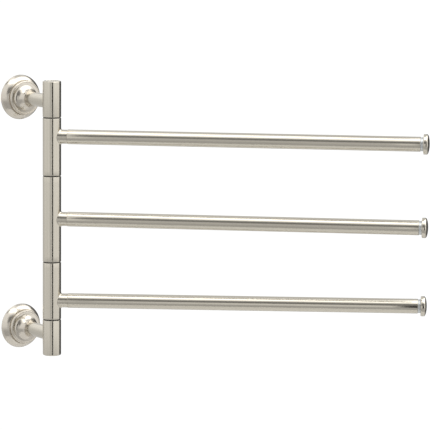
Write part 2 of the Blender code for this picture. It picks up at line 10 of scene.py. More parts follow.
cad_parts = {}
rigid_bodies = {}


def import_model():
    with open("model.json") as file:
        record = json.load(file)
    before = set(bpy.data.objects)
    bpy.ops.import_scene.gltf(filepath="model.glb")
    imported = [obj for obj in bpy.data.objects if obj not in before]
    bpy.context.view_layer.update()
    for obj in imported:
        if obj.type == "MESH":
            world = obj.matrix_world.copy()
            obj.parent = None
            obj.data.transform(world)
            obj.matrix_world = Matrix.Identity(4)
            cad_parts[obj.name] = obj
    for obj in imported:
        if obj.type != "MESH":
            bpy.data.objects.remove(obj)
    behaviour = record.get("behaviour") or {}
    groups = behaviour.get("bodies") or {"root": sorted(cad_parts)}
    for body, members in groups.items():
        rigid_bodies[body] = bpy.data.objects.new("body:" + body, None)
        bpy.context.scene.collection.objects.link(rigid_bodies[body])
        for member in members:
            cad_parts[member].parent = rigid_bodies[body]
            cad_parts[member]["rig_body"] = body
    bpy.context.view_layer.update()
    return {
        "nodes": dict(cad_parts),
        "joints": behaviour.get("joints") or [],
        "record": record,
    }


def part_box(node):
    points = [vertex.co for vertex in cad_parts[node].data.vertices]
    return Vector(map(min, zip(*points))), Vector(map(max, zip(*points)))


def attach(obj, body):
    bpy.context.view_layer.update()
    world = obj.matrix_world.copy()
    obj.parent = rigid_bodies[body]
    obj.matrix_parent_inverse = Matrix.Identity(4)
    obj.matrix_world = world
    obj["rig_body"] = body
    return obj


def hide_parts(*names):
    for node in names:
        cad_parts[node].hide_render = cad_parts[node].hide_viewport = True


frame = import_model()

MM = 0.001
NODES = frame["nodes"]
JOINTS = {joint["child"]: joint for joint in frame["joints"]}
UP = Vector((0, 0, 1))
OFF_WALL = Vector((0, -1, 0))
SIDES = ("upper", "middle", "lower")
ENDS = ("upper", "lower")

# --- Details finer than the frame's solids ------------------------------------------------------------
AROUND = 144  # faces round a large turned piece
SMALL_AROUND = 72  # faces round a screw, nut or stud
EDGE = 0.3 * MM  # broken edges
FINE_EDGE = 0.12 * MM  # edges at the joints between two pieces
JOINT_GAP = 0.05 * MM  # what shows between two pieces screwed up tight
GAP = 0.25 * MM  # between pieces that seat on or in each other
OVERCUT = 1.0 * MM  # how far a cutter runs past what it cuts
THREAD_PITCH = 0.8 * MM
THREAD_DEPTH = 0.22 * MM
SPINDLE_THREAD = 9.0 * MM  # how far from each end of the spindle its thread reaches
BOLT_THREAD = 16.0 * MM  # how far from the bolt's end
SHARP_ANGLE = math.radians(40)  # edges sharper than this aren't shaded smooth
OWN_PLACE = "own_place"  # vertex attribute that the materials read

# --- Sizes that the frame's solids share --------------------------------------------------------------
POST_ROUND = 1.3 * MM
POST_WALL = 2.0 * MM
SPINDLE_HOLE = 4.25 * MM
NUT_POCKET = 9.45 * MM
PLUG_GROWTH = 0.15 * MM  # added to the plug's radius, to narrow the gap round it
SADDLE_EDGE = 0.35 * MM
COLLAR_STEP = 0.35 * MM
COLLAR_FILLET = 1.5 * MM
COLLAR_COLUMNS = 96  # faces round a collar, a multiple of 8
FILLET_STEPS = 10
SLEEVE_COLUMNS = 72  # faces round the sleeve, away from the collar
BLEND_STEPS = 6  # rings of faces from the fillet's foot out to the sleeve's own grid
BLEND_TURN = 0.16  # radians from the fillet's foot to that grid
BLEND_HEIGHT = 1.2 * MM
END_STEPS = 6  # rows of faces from there to each end of the sleeve
BAR_STEPS = 12  # rows of faces along a bar
STUD_HOLE = 4.0 * MM
STUD_HOLE_DEPTH = 15.0 * MM  # in the bar's root
STUD_HOLE_FLOOR = 1.3 * MM
BAR_WALL = 1.2 * MM
CAP_ROUND = 0.7 * MM
CAP_DOME = 2.3 * MM
CAP_HOLE = 3.0 * MM
FINIAL_HOLE = 2.75 * MM
FINIAL_HOLE_DEPTH = 11.5 * MM  # in the bar's end
DRILL_POINT = 1.2 * MM  # a blind hole's floor is this much deeper in the middle
INSERT_EDGE = 0.4 * MM
BOLT_HOLE = 3.25 * MM
BOLT_HOLE_START = 5.5 * MM  # from the post's axis
BOLT_KEY = 5.0 * MM
BOLT_KEY_DEPTH = 2.25 * MM
SET_SCREW_KEY = 2.5 * MM
SET_SCREW_TIP = 0.8 * MM
SPIGOT = 5.35 * MM
SPIGOT_LENGTH = 6.5 * MM

# --- Flange profile, from the wall outwards -----------------------------------------------------------
RIM_FOOT = 1.0 * MM
RIM_SWEEP = 12.7 * MM
RIM_SIDE = (12, 55)  # degrees round the rim's rounded side
STEP_IN = 6.0 * MM
STEP_HEIGHT = 13.2 * MM
STEP_ROUND = 0.9 * MM
STEP_GROOVE = 0.4 * MM
FINE_GROOVE_IN = 1.4 * MM
FINE_GROOVE = 0.26 * MM
COVE_IN = 2.0 * MM
NECK_LENGTH = 1.2 * MM
FLANGE_WALL = 2.4 * MM
FLANGE_LIP = 4.5 * MM
CAVITY_MOUTH = 4.0 * MM  # height up to which the hollow has its full width
CAVITY_SHOULDER = 8.0 * MM  # height from which it has its lesser width
BOLT_SEAT = 15.0 * MM
BOLT_ROOM = 6.2 * MM

# --- Bracket ------------------------------------------------------------------------------------------
BRACKET_GROOVE = 1.8 * MM
BRACKET_GROOVE_HALF = 1.0 * MM
BRACKET_FOOT = 1.2 * MM
BRACKET_LIP = 1.0 * MM
BRACKET_BEVEL = 1.2 * MM
SET_SCREW_HEIGHT = 3.6 * MM
WALL_SCREW_OFFSET = 10.5 * MM
WALL_SCREW_HOLE = 2.3 * MM
WALL_SCREW_HEAD = 4.3 * MM


# --- Reading the frame --------------------------------------------------------------------------------
def measure(node, origin, axis):
    """Where a CAD node starts and ends along an axis, and its largest radius about it."""
    runs = []
    radii = []
    for vertex in NODES[node].data.vertices:
        offset = vertex.co - origin
        run = offset.dot(axis)
        runs.append(run)
        radii.append((offset - run * axis).length)
    return min(runs), max(runs), max(radii)


def arm_axis(side):
    """The pivot of an arm and the direction of its bar at rest."""
    joint = JOINTS[f"{side}_arm"]
    angle = math.radians(joint["range_deg"][1])
    return Vector(joint["pos_m"]), Vector((math.cos(angle), -math.sin(angle), 0))


def mount_point(end):
    low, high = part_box(f"{end}_flange")
    return Vector((0, 0, (low.z + high.z) / 2))


POST_AXIS = Vector((*JOINTS["middle_arm"]["pos_m"][:2], 0))
POST_RADIUS = measure("upper_end_sleeve", POST_AXIS, UP)[2]
MOUNTS = {end: mount_point(end) for end in ENDS}


# --- Mesh tools ---------------------------------------------------------------------------------------
def arc(centre, radii, start, end, steps):
    turns = [math.radians(start + (end - start) * step / steps) for step in range(steps + 1)]
    return [(centre[0] + radii[0] * math.cos(t), centre[1] + radii[1] * math.sin(t)) for t in turns]


def rounded(outline, edge, steps=3):
    """The closed outline with each corner cut by a small round edge, points on the axis left sharp."""
    result = []
    for index, corner in enumerate(outline):
        point = Vector(corner)
        into = Vector(outline[index - 1]) - point
        out = Vector(outline[(index + 1) % len(outline)]) - point
        if point.x < 1e-7 or min(into.length, out.length) < 3 * edge:
            result.append(corner)
            continue
        start = point + into.normalized() * edge
        stop = point + out.normalized() * edge
        for step in range(steps + 1):
            t = step / steps
            mixed = start * (1 - t) ** 2 + point * 2 * t * (1 - t) + stop * t**2
            result.append((mixed.x, mixed.y))
    return result


def thread(radius, start, stop):
    """Ridges of a screw thread in an outline, from one height to another."""
    count = max(1, round(abs(stop - start) / THREAD_PITCH))
    pitch = (stop - start) / count
    points = []
    for number in range(count):
        foot = start + number * pitch
        points += [(radius - THREAD_DEPTH, foot), (radius, foot + pitch * 0.4), (radius, foot + pitch * 0.6)]
    return points + [(radius - THREAD_DEPTH, stop)]


def frame_matrix(origin, axis):
    """Places a piece whose own +Z runs along axis. Its own X stays level where that is possible."""
    side = UP.cross(axis)
    if side.length < 1e-6:
        side = Vector((1, 0, 0))
    side.normalize()
    return Matrix.Translation(origin) @ Matrix((side, axis.cross(side), axis)).transposed().to_4x4()


def bridge(bm, one, other):
    """Faces between two closed rows of points, either of which may be a single point."""
    count = max(len(one), len(other))
    for step in range(count if count > 1 else 0):
        after = (step + 1) % count
        if len(one) == 1:
            bm.faces.new((one[0], other[step], other[after]))
        elif len(other) == 1:
            bm.faces.new((one[step], one[after], other[0]))
        else:
            bm.faces.new((one[step], one[after], other[after], other[step]))


def hexagon_reach(corner, turn):
    """From the middle of a hexagon to its side in one direction."""
    return corner * math.cos(math.pi / 6) / math.cos(turn % (math.pi / 3) - math.pi / 6)


def lathe(outline, around=AROUND, closed=True, shift=None):
    """The (radius, height) outline turned about Z. A third item in a point makes its row a hexagon of that
    corner radius. shift(x, row) moves a point of that row along Z."""
    bm = bmesh.new()
    rings = []
    for row, (radius, height, *hexagon) in enumerate(outline):
        ring = []
        for step in range(1 if radius < 1e-7 else around):
            turn = math.tau * step / around
            reach = min(hexagon_reach(hexagon[0], turn), radius) if hexagon else radius
            x, y = reach * math.cos(turn), reach * math.sin(turn)
            ring.append(bm.verts.new((x, y, height + (shift(x, row) if shift else 0))))
        rings.append(ring)
    for one, other in zip(rings, rings[1:] + (rings[:1] if closed else [])):
        bridge(bm, one, other)
    return bm


def finish_mesh(mesh, matrix):
    """Shades a mesh that is in world space, and stores for the materials where each vertex is along the
    piece's own axes."""
    inverse = matrix.inverted()
    places = mesh.attributes.get(OWN_PLACE) or mesh.attributes.new(OWN_PLACE, "FLOAT_VECTOR", "POINT")
    for vertex, place in zip(mesh.vertices, places.data):
        place.vector = inverse @ vertex.co
    mesh.shade_smooth()
    mesh.set_sharp_from_angle(angle=SHARP_ANGLE)


def linked(name, bm, matrix):
    """An object at the world's origin whose mesh is already where the matrix puts it."""
    bmesh.ops.remove_doubles(bm, verts=bm.verts, dist=1e-7)
    bmesh.ops.recalc_face_normals(bm, faces=bm.faces)
    mesh = bpy.data.meshes.new(name)
    bm.to_mesh(mesh)
    bm.free()
    mesh.transform(matrix)
    finish_mesh(mesh, matrix)
    item = bpy.data.objects.new(name, mesh)
    bpy.context.scene.collection.objects.link(item)
    return item


def cut(piece, matrix, cutter):
    """Takes the cutter out of a piece whose own axes are in matrix, and removes the cutter."""
    boolean = piece.modifiers.new("hole", "BOOLEAN")
    boolean.object = cutter
    boolean.solver = "EXACT"
    bpy.context.view_layer.update()
    mesh = bpy.data.meshes.new_from_object(piece.evaluated_get(bpy.context.evaluated_depsgraph_get()))
    piece.modifiers.clear()
    piece.data = mesh
    bpy.data.objects.remove(cutter)
    finish_mesh(mesh, matrix)


def make_piece(name, node, bm, matrix, cutters=()):
    """A piece that stands for a CAD node, in that node's body and finish. Each cutter is (bmesh, matrix)."""
    piece = linked(name, bm, matrix)
    for cutter_bm, cutter_matrix in cutters:
        cut(piece, matrix, linked("cutter", cutter_bm, cutter_matrix))
    slot = SLOT_OF_NODE[node]
    piece.data.materials.clear()
    piece.data.materials.append(MATERIALS[slot])
    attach(piece, NODES[node]["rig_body"])
    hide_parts(node)
    return piece


# --- Materials ----------------------------------------------------------------------------------------
class Graph:
    """Short calls to add nodes to one material."""

    def __init__(self, name):
        self.material = bpy.data.materials.new(name)
        self.material.use_nodes = True
        self.tree = self.material.node_tree
        self.shader = self.tree.nodes["Principled BSDF"]
        self.place = self.add("ShaderNodeAttribute", attribute_name=OWN_PLACE).outputs["Vector"]

    def add(self, kind, **settings):
        node = self.tree.nodes.new(kind)
        for key, value in settings.items():
            setattr(node, key, value)
        return node

    def link(self, source, target):
        self.tree.links.new(source, target)

    def noise(self, scale, detail=2.0, rough=0.5, stretch=(1, 1, 1), where=None):
        mapping = self.add("ShaderNodeMapping")
        mapping.inputs["Scale"].default_value = stretch
        self.link(where or self.place, mapping.inputs["Vector"])
        node = self.add("ShaderNodeTexNoise")
        node.inputs["Scale"].default_value = scale
        node.inputs["Detail"].default_value = detail
        node.inputs["Roughness"].default_value = rough
        self.link(mapping.outputs["Vector"], node.inputs["Vector"])
        return node.outputs["Fac"]

    def round_place(self):
        """Distance from the piece's own Z, and height along it, as a place for rings left by a lathe."""
        split = self.add("ShaderNodeSeparateXYZ")
        flat = self.add("ShaderNodeCombineXYZ")
        length = self.add("ShaderNodeVectorMath", operation="LENGTH")
        ring = self.add("ShaderNodeCombineXYZ")
        self.link(self.place, split.inputs["Vector"])
        self.link(split.outputs["X"], flat.inputs["X"])
        self.link(split.outputs["Y"], flat.inputs["Y"])
        self.link(flat.outputs["Vector"], length.inputs[0])
        self.link(length.outputs["Value"], ring.inputs["X"])
        self.link(split.outputs["Z"], ring.inputs["Z"])
        return ring.outputs["Vector"]

    def remap(self, value, low, high, start=0.3, stop=0.7):
        node = self.add("ShaderNodeMapRange")
        node.inputs["From Min"].default_value = start
        node.inputs["From Max"].default_value = stop
        node.inputs["To Min"].default_value = low
        node.inputs["To Max"].default_value = high
        self.link(value, node.inputs["Value"])
        return node.outputs["Result"]

    def sum(self, one, other):
        node = self.add("ShaderNodeMath", operation="ADD")
        self.link(one, node.inputs[0])
        self.link(other, node.inputs[1])
        return node.outputs["Value"]

    def mix(self, factor, first, second):
        node = self.add("ShaderNodeMix", data_type="RGBA")
        self.link(factor, node.inputs["Factor"])
        for value, target in ((first, node.inputs["A"]), (second, node.inputs["B"])):
            if isinstance(value, tuple):
                target.default_value = (*value, 1)
            else:
                self.link(value, target)
        return node.outputs["Result"]

    def bump(self, height, strength, distance):
        node = self.add("ShaderNodeBump")
        node.inputs["Strength"].default_value = strength
        node.inputs["Distance"].default_value = distance
        self.link(height, node.inputs["Height"])
        return node.outputs["Normal"]

    def finish(self, metallic, colour, roughness, normal):
        self.shader.inputs["Metallic"].default_value = metallic
        self.link(colour, self.shader.inputs["Base Color"])
        self.link(roughness, self.shader.inputs["Roughness"])
        self.link(normal, self.shader.inputs["Normal"])
        return self.material


def brushed_metal(name, dark, light, roughness):
    """Satin metal with fine brush lines along the piece's own Z, faint blotches and duller handling marks."""
    g = Graph(name)
    fine = g.noise(1500, detail=3, rough=0.6, stretch=(1, 1, 0.012))
    broad = g.noise(420, detail=1, stretch=(1, 1, 0.012))
    blotch = g.noise(22)
    lines = g.sum(g.remap(fine, 0.0, 0.5), g.remap(broad, 0.0, 0.5))
    colour = g.mix(lines, dark, light)
    colour = g.mix(g.remap(blotch, 0.0, 0.2), colour, dark)
    rough = g.sum(g.remap(lines, *roughness, 0.0, 1.0), g.remap(blotch, 0.0, 0.03))
    return g.finish(1.0, colour, rough, g.bump(fine, 0.2, 0.00002))


def turned_metal(name, dark, light, roughness, depth=0.1):
    """Metal finished on a lathe: very fine rings about the piece's own Z, and a faint cloudiness."""
    g = Graph(name)
    rings = g.noise(2600, where=g.round_place())
    cloud = g.noise(60, detail=3)
    colour = g.mix(g.remap(cloud, 0.0, 1.0), dark, light)
    rough = g.sum(g.remap(cloud, *roughness), g.remap(rings, 0.0, 0.03))
    return g.finish(1.0, colour, rough, g.bump(rings, depth, 0.00001))


def moulded(name, dark, light, roughness, metallic=0.0, grain=900):
    """A fine even grain, as on moulded plastic or blasted metal."""
    g = Graph(name)
    fine = g.noise(grain)
    cloud = g.noise(70)
    colour = g.mix(g.remap(cloud, 0.0, 1.0), dark, light)
    return g.finish(metallic, colour, g.remap(fine, *roughness), g.bump(fine, 0.15, 0.00002))


MATERIALS = {
    "satin_nickel": brushed_metal("satin_nickel", (0.60, 0.56, 0.478), (0.69, 0.65, 0.563), (0.12, 0.18)),
    "polished_nickel": turned_metal("polished_nickel", (0.64, 0.593, 0.519), (0.72, 0.672, 0.59),
                                    (0.17, 0.23)),
    "zinc_steel": turned_metal("zinc_steel", (0.50, 0.51, 0.52), (0.60, 0.61, 0.61), (0.28, 0.38), depth=0.3),
    "brass": turned_metal("brass", (0.66, 0.49, 0.24), (0.76, 0.59, 0.31), (0.24, 0.34), depth=0.3),
    "grey_ring": moulded("grey_ring", (0.58, 0.60, 0.60), (0.66, 0.68, 0.68), (0.30, 0.40), metallic=0.8),
    "dark_nylon": moulded("dark_nylon", (0.035, 0.035, 0.035), (0.06, 0.06, 0.058), (0.45, 0.6)),
    "white_acetal": moulded("white_acetal", (0.74, 0.73, 0.68), (0.83, 0.82, 0.78), (0.32, 0.45)),
}
SLOT_OF_NODE = {subpart["node"]: subpart["material_slot"] for subpart in frame["record"]["subparts"]}


def cylinder(radius, start, stop):
    return lathe([(0, start), (radius, start), (radius, stop), (0, stop)], SMALL_AROUND, closed=False)


def turned_piece(name, node, outline, matrix, around=AROUND, closed=True, **more):
    return make_piece(name, node, lathe(outline, around, closed), matrix, **more)


# --- Wall side ----------------------------------------------------------------------------------------
def flange_outline(radius, height, neck):
    """Rounded rim, a step with a groove at its foot and a fine one on top, then a cove that narrows to the
    neck. It is hollow behind, and the neck holds the standoff's spigot."""
    start = math.radians(RIM_SIDE[0])
    rim = arc((radius - RIM_SWEEP * math.cos(start), RIM_FOOT - RIM_SWEEP * math.sin(start)),
              (RIM_SWEEP, RIM_SWEEP), *RIM_SIDE, 24)
    step = radius - STEP_IN
    groove = step - FINE_GROOVE_IN
    cove = step - COVE_IN
    cove_height = height - NECK_LENGTH - STEP_HEIGHT
    wall = step - FLANGE_WALL
    cavity = radius - FLANGE_LIP
    ceiling = STEP_HEIGHT - FLANGE_WALL
    outside = [
        (radius - 0.5 * MM, 0),
        (radius - 0.2 * MM, 0.3 * MM),
        *rim,
        *arc((step + STEP_GROOVE, rim[-1][1] - 0.1 * MM), (STEP_GROOVE, STEP_GROOVE), 330, 180, 8),
        *arc((step - STEP_ROUND, STEP_HEIGHT - STEP_ROUND), (STEP_ROUND, STEP_ROUND), 0, 90, 12),
        (groove + FINE_GROOVE, STEP_HEIGHT),
        *arc((groove, STEP_HEIGHT), (FINE_GROOVE, FINE_GROOVE), 340, 200, 6),
        (groove - FINE_GROOVE, STEP_HEIGHT),
        *arc((cove, STEP_HEIGHT + cove_height), (cove - neck, cove_height), 270, 180, 36),
        (neck, height - FINE_EDGE),
        (neck - FINE_EDGE, height),
    ]
    inside = [
        (SPIGOT + GAP, height),
        (SPIGOT + GAP, height - SPIGOT_LENGTH),
        (BOLT_HOLE, height - SPIGOT_LENGTH),
        (BOLT_HOLE, BOLT_SEAT),
        (BOLT_ROOM, BOLT_SEAT),
        (BOLT_ROOM, ceiling),
        (wall, ceiling),
        (wall, CAVITY_SHOULDER),
        (cavity, CAVITY_MOUTH),
        (cavity, 0.2 * MM),
        (cavity + 0.2 * MM, 0),
    ]
    return outside + inside


def add_flange(end, place, screw_place):
    _, high, radius = measure(f"{end}_flange", MOUNTS[end], OFF_WALL)
    neck = measure(f"{end}_standoff", MOUNTS[end], OFF_WALL)[2]
    screw_axis = MOUNTS[end] + OFF_WALL * SET_SCREW_HEIGHT
    screw_low, screw_high, screw = measure(f"{end}_flange_set_screw", screw_axis, -UP)
    hole = cylinder(screw + 0.2 * MM, screw_low - 2 * OVERCUT, radius + OVERCUT)
    turned_piece(f"{end}_flange_turned", f"{end}_flange", flange_outline(radius, high, neck), place,
                 cutters=[(hole, screw_place)])
    key_corner = SET_SCREW_KEY / math.sqrt(3)
    outline = [
        (0, screw_low),
        (SET_SCREW_TIP, screw_low),
        *thread(screw, screw_low + 1.2 * MM, screw_high - 0.2 * MM),
        (screw - 0.4 * MM, screw_high),
        (SET_SCREW_KEY, screw_high, key_corner),
        (SET_SCREW_KEY, screw_high - SET_SCREW_KEY, key_corner),
        (0, screw_high - SET_SCREW_KEY - 0.5 * MM),
    ]
    turned_piece(f"{end}_set_screw_threaded", f"{end}_flange_set_screw", outline, screw_place, SMALL_AROUND,
                 closed=False)


def add_bracket(end, place):
    _, high, radius = measure(f"{end}_wall_bracket", MOUNTS[end], OFF_WALL)
    groove = radius - BRACKET_GROOVE
    outline = rounded([
        (0, 0),
        (radius, 0),
        (radius, BRACKET_FOOT),
        (groove, SET_SCREW_HEIGHT - BRACKET_GROOVE_HALF),
        (groove, SET_SCREW_HEIGHT + BRACKET_GROOVE_HALF),
        (radius - BRACKET_LIP, high - BRACKET_BEVEL),
        (radius - BRACKET_LIP - BRACKET_BEVEL, high),
        (0, high),
    ], 0.2 * MM)
    sink = high - (WALL_SCREW_HEAD - WALL_SCREW_HOLE)
    holes = []
    for across in (-WALL_SCREW_OFFSET, WALL_SCREW_OFFSET):
        hole = lathe([(0, -OVERCUT), (WALL_SCREW_HOLE, -OVERCUT), (WALL_SCREW_HOLE, sink),
                      (WALL_SCREW_HEAD + OVERCUT, high + OVERCUT), (0, high + OVERCUT)],
                     SMALL_AROUND, closed=False)
        holes.append((hole, place @ Matrix.Translation((across, 0, 0))))
    turned_piece(f"{end}_bracket_plate", f"{end}_wall_bracket", outline, place, closed=False, cutters=holes)


def add_standoff(end, place):
    """The arm between flange and post, its far end cut to sit round the post."""
    low, _, radius = measure(f"{end}_standoff", MOUNTS[end], OFF_WALL)
    start = measure(f"{end}_flange", MOUNTS[end], OFF_WALL)[1] + JOINT_GAP
    reach = -POST_AXIS.y
    seat = POST_RADIUS + JOINT_GAP
    outline = [
        (BOLT_HOLE, low),
        (SPIGOT - EDGE, low),
        (SPIGOT, low + EDGE),
        (SPIGOT, start),
        (radius - FINE_EDGE, start),
        (radius, start + FINE_EDGE),
        (radius, reach - 12 * MM),
        (radius, reach - SADDLE_EDGE * 3),
        (radius, reach - SADDLE_EDGE),
        (radius - SADDLE_EDGE * 0.3, reach - SADDLE_EDGE * 0.3),
        (radius - SADDLE_EDGE, reach),
        (BOLT_HOLE, reach),
    ]
    saddle_rows = range(len(outline) - 5, len(outline))

    def saddle(x, row):
        return -math.sqrt(seat**2 - x**2) if row in saddle_rows else 0

    make_piece(f"{end}_standoff_arm", f"{end}_standoff", lathe(outline, shift=saddle), place)


def add_standoff_bolt(end, place):
    low, high, head = measure(f"{end}_standoff_bolt", MOUNTS[end], OFF_WALL)
    shank = BOLT_HOLE - GAP
    seat = BOLT_SEAT - GAP
    key_corner = BOLT_KEY / math.sqrt(3)
    outline = [
        (0, low + BOLT_KEY_DEPTH),
        (BOLT_KEY, low + BOLT_KEY_DEPTH, key_corner),
        (BOLT_KEY, low + 0.2 * MM, key_corner),
        (key_corner + 0.3 * MM, low),
        (head - 0.5 * MM, low),
        (head - 0.1 * MM, low + 0.2 * MM),
        (head, low + 0.6 * MM),
        (head, seat - 0.2 * MM),
        (head - 0.2 * MM, seat),
        (shank + 0.2 * MM, seat),
        (shank, seat + 0.3 * MM),
        *thread(shank, high - BOLT_THREAD, high - 0.6 * MM),
        (shank - 0.6 * MM, high),
        (0, high),
    ]
    turned_piece(f"{end}_bolt_socket_head", f"{end}_standoff_bolt", outline, place, SMALL_AROUND,
                 closed=False)


# --- Post ---------------------------------------------------------------------------------------------
def add_post_end(end):
    outward = UP if end == "upper" else -UP
    place = frame_matrix(POST_AXIS, outward)
    low, high, _ = measure(f"{end}_end_sleeve", POST_AXIS, outward)
    bore = POST_RADIUS - POST_WALL
    outline = [
        (SPINDLE_HOLE, low),
        *arc((POST_RADIUS - EDGE, low + EDGE), (EDGE, EDGE), 270, 360, 5),
        *arc((POST_RADIUS - POST_ROUND, high - POST_ROUND), (POST_ROUND, POST_ROUND), 0, 90, 12),
        (bore + FINE_EDGE, high),
        (bore, high - FINE_EDGE),
        (bore, high - NUT_POCKET),
        (SPINDLE_HOLE, high - NUT_POCKET),
    ]
    seat = Matrix.Translation((0, POST_AXIS.y, MOUNTS[end].z)) @ frame_matrix(Vector(), -OFF_WALL)
    hole = cylinder(BOLT_HOLE, BOLT_HOLE_START, 2 * POST_RADIUS)
    turned_piece(f"{end}_post_end", f"{end}_end_sleeve", outline, place, cutters=[(hole, seat)])


def add_plug_and_nut(end):
    outward = UP if end == "upper" else -UP
    place = frame_matrix(POST_AXIS, outward)
    low, high, radius = measure(f"{end}_end_plug", POST_AXIS, outward)
    radius += PLUG_GROWTH
    outline = [
        (0, low),
        (radius - EDGE, low),
        (radius, low + EDGE),
        *arc((radius - EDGE, high - EDGE), (EDGE, EDGE), 0, 90, 5),
        (0, high),
    ]
    turned_piece(f"{end}_post_plug", f"{end}_end_plug", outline, place, closed=False)

    low, high, corner = measure(f"{end}_spindle_nut", POST_AXIS, outward)
    flat = corner * math.cos(math.pi / 6)
    half = [
        (SPINDLE_HOLE, 0.4 * MM),
        (SPINDLE_HOLE + 0.4 * MM, 0),
        (flat - 0.1 * MM, 0),
        (flat + 0.55 * MM, 0.35 * MM, corner),
        (corner, 0.8 * MM, corner),
    ]
    outline = [(radius, low + rise, *hexagon) for radius, rise, *hexagon in half]
    outline += [(radius, high - rise, *hexagon) for radius, rise, *hexagon in reversed(half)]
    turned_piece(f"{end}_nut_hexagon", f"{end}_spindle_nut", outline, place, SMALL_AROUND)


def add_spindle_and_washers():
    place = frame_matrix(POST_AXIS, UP)
    low, high, radius = measure("spindle", POST_AXIS, UP)
    outline = [
        (0, low),
        (radius - 0.6 * MM, low),
        *thread(radius, low + 0.5 * MM, low + SPINDLE_THREAD),
        (radius, low + SPINDLE_THREAD + 0.4 * MM),
        (radius, high - SPINDLE_THREAD - 0.4 * MM),
        *thread(radius, high - SPINDLE_THREAD, high - 0.5 * MM),
        (radius - 0.6 * MM, high),
        (0, high),
    ]
    turned_piece("spindle_ground_rod", "spindle", outline, place, SMALL_AROUND, closed=False)
    for number in range(1, 5):
        node = f"thrust_washer_{number}"
        low, high, radius = measure(node, POST_AXIS, UP)
        hole = SPINDLE_HOLE + 0.15 * MM
        outline = rounded([(hole, low), (radius, low), (radius, high), (hole, high)], 0.15 * MM)
        turned_piece(f"{node}_moulded", node, outline, place)


# --- Swing arms ---------------------------------------------------------------------------------------
def rolled_fillet(collar_radius):
    """The fillet that a ball leaves as it rolls between the sleeve, about Z, and the collar, about +X: its
    foot on the sleeve, as (turn, height) pairs, and the rings of points from there to the collar."""
    ball_post = POST_RADIUS + COLLAR_FILLET
    ball_collar = collar_radius + COLLAR_FILLET
    feet = []
    rings = [[] for _ in range(FILLET_STEPS + 1)]
    for step in range(COLLAR_COLUMNS):
        turn = math.tau * step / COLLAR_COLUMNS
        across, rise = math.cos(turn), math.sin(turn)
        ball_y, ball_z = ball_collar * across, ball_collar * rise
        ball = Vector((math.sqrt(ball_post**2 - ball_y**2), ball_y, ball_z))
        on_post = Vector((ball.x, ball.y, 0)) * (POST_RADIUS / ball_post) + Vector((0, 0, ball.z))
        on_collar = Vector((ball.x, collar_radius * across, collar_radius * rise))
        feet.append((math.atan2(on_post.y, on_post.x), on_post.z))
        start, stop = on_post - ball, on_collar - ball
        spread = start.angle(stop)
        for row, ring in enumerate(rings):
            t = row / FILLET_STEPS
            spoke = (start * math.sin((1 - t) * spread) + stop * math.sin(t * spread)) / math.sin(spread)
            ring.append(ball + spoke)
    return feet, rings


def square_point(step, half_turn, half_height):
    """The point on the square round the fillet's foot that faces the foot's point of the same number."""
    side_count = COLLAR_COLUMNS // 4
    quarter, along = divmod(step + side_count // 2, side_count)
    along = 2 * along / side_count - 1
    place = ((1, along), (-along, 1), (-1, -along), (along, -1))[quarter % 4]
    return place[0] * half_turn, place[1] * half_height


